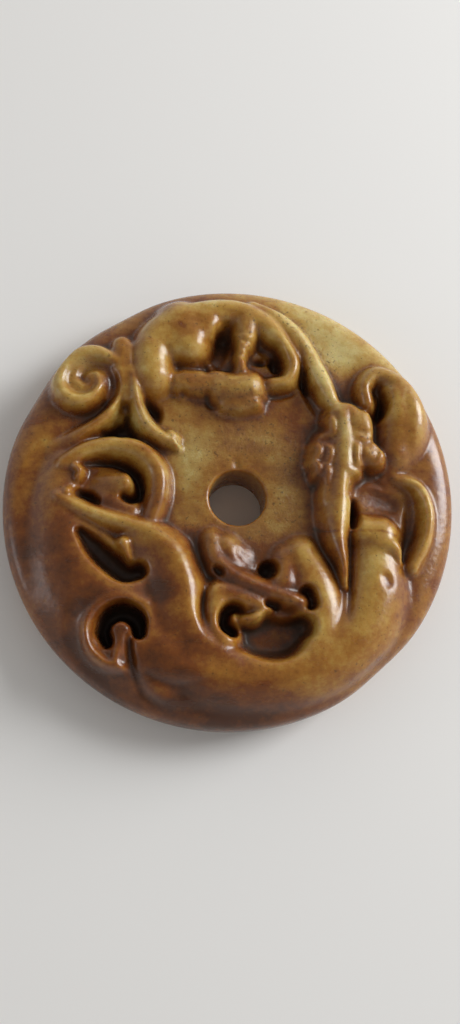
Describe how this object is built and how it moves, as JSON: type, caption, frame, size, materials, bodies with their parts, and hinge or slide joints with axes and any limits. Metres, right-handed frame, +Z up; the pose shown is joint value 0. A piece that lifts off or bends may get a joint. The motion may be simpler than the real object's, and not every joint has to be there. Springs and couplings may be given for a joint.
{
  "type": "carved jade bi disc",
  "caption": "Round jade pendant disc with a central bore, its face carved in high relief with coiling hornless dragons and scrolls, its back plain; worn on a cord or laid flat.",
  "frame": {"origin": "middle of the underside, under the middle of the disc's outline", "axes": "+Z up out of the carved face, +Y towards the dragon that arches over the bore, +X to the right as the face is seen"},
  "size_m": [0.0572, 0.0576, 0.0102],
  "materials": {
    "honey_jade": "polished, slightly translucent honey-yellow jade with russet skin and brown dirt in the hollows"
  },
  "bodies": {
    "root": {"jade_bi_disc": "honey_jade"}
  },
  "joints": []
}
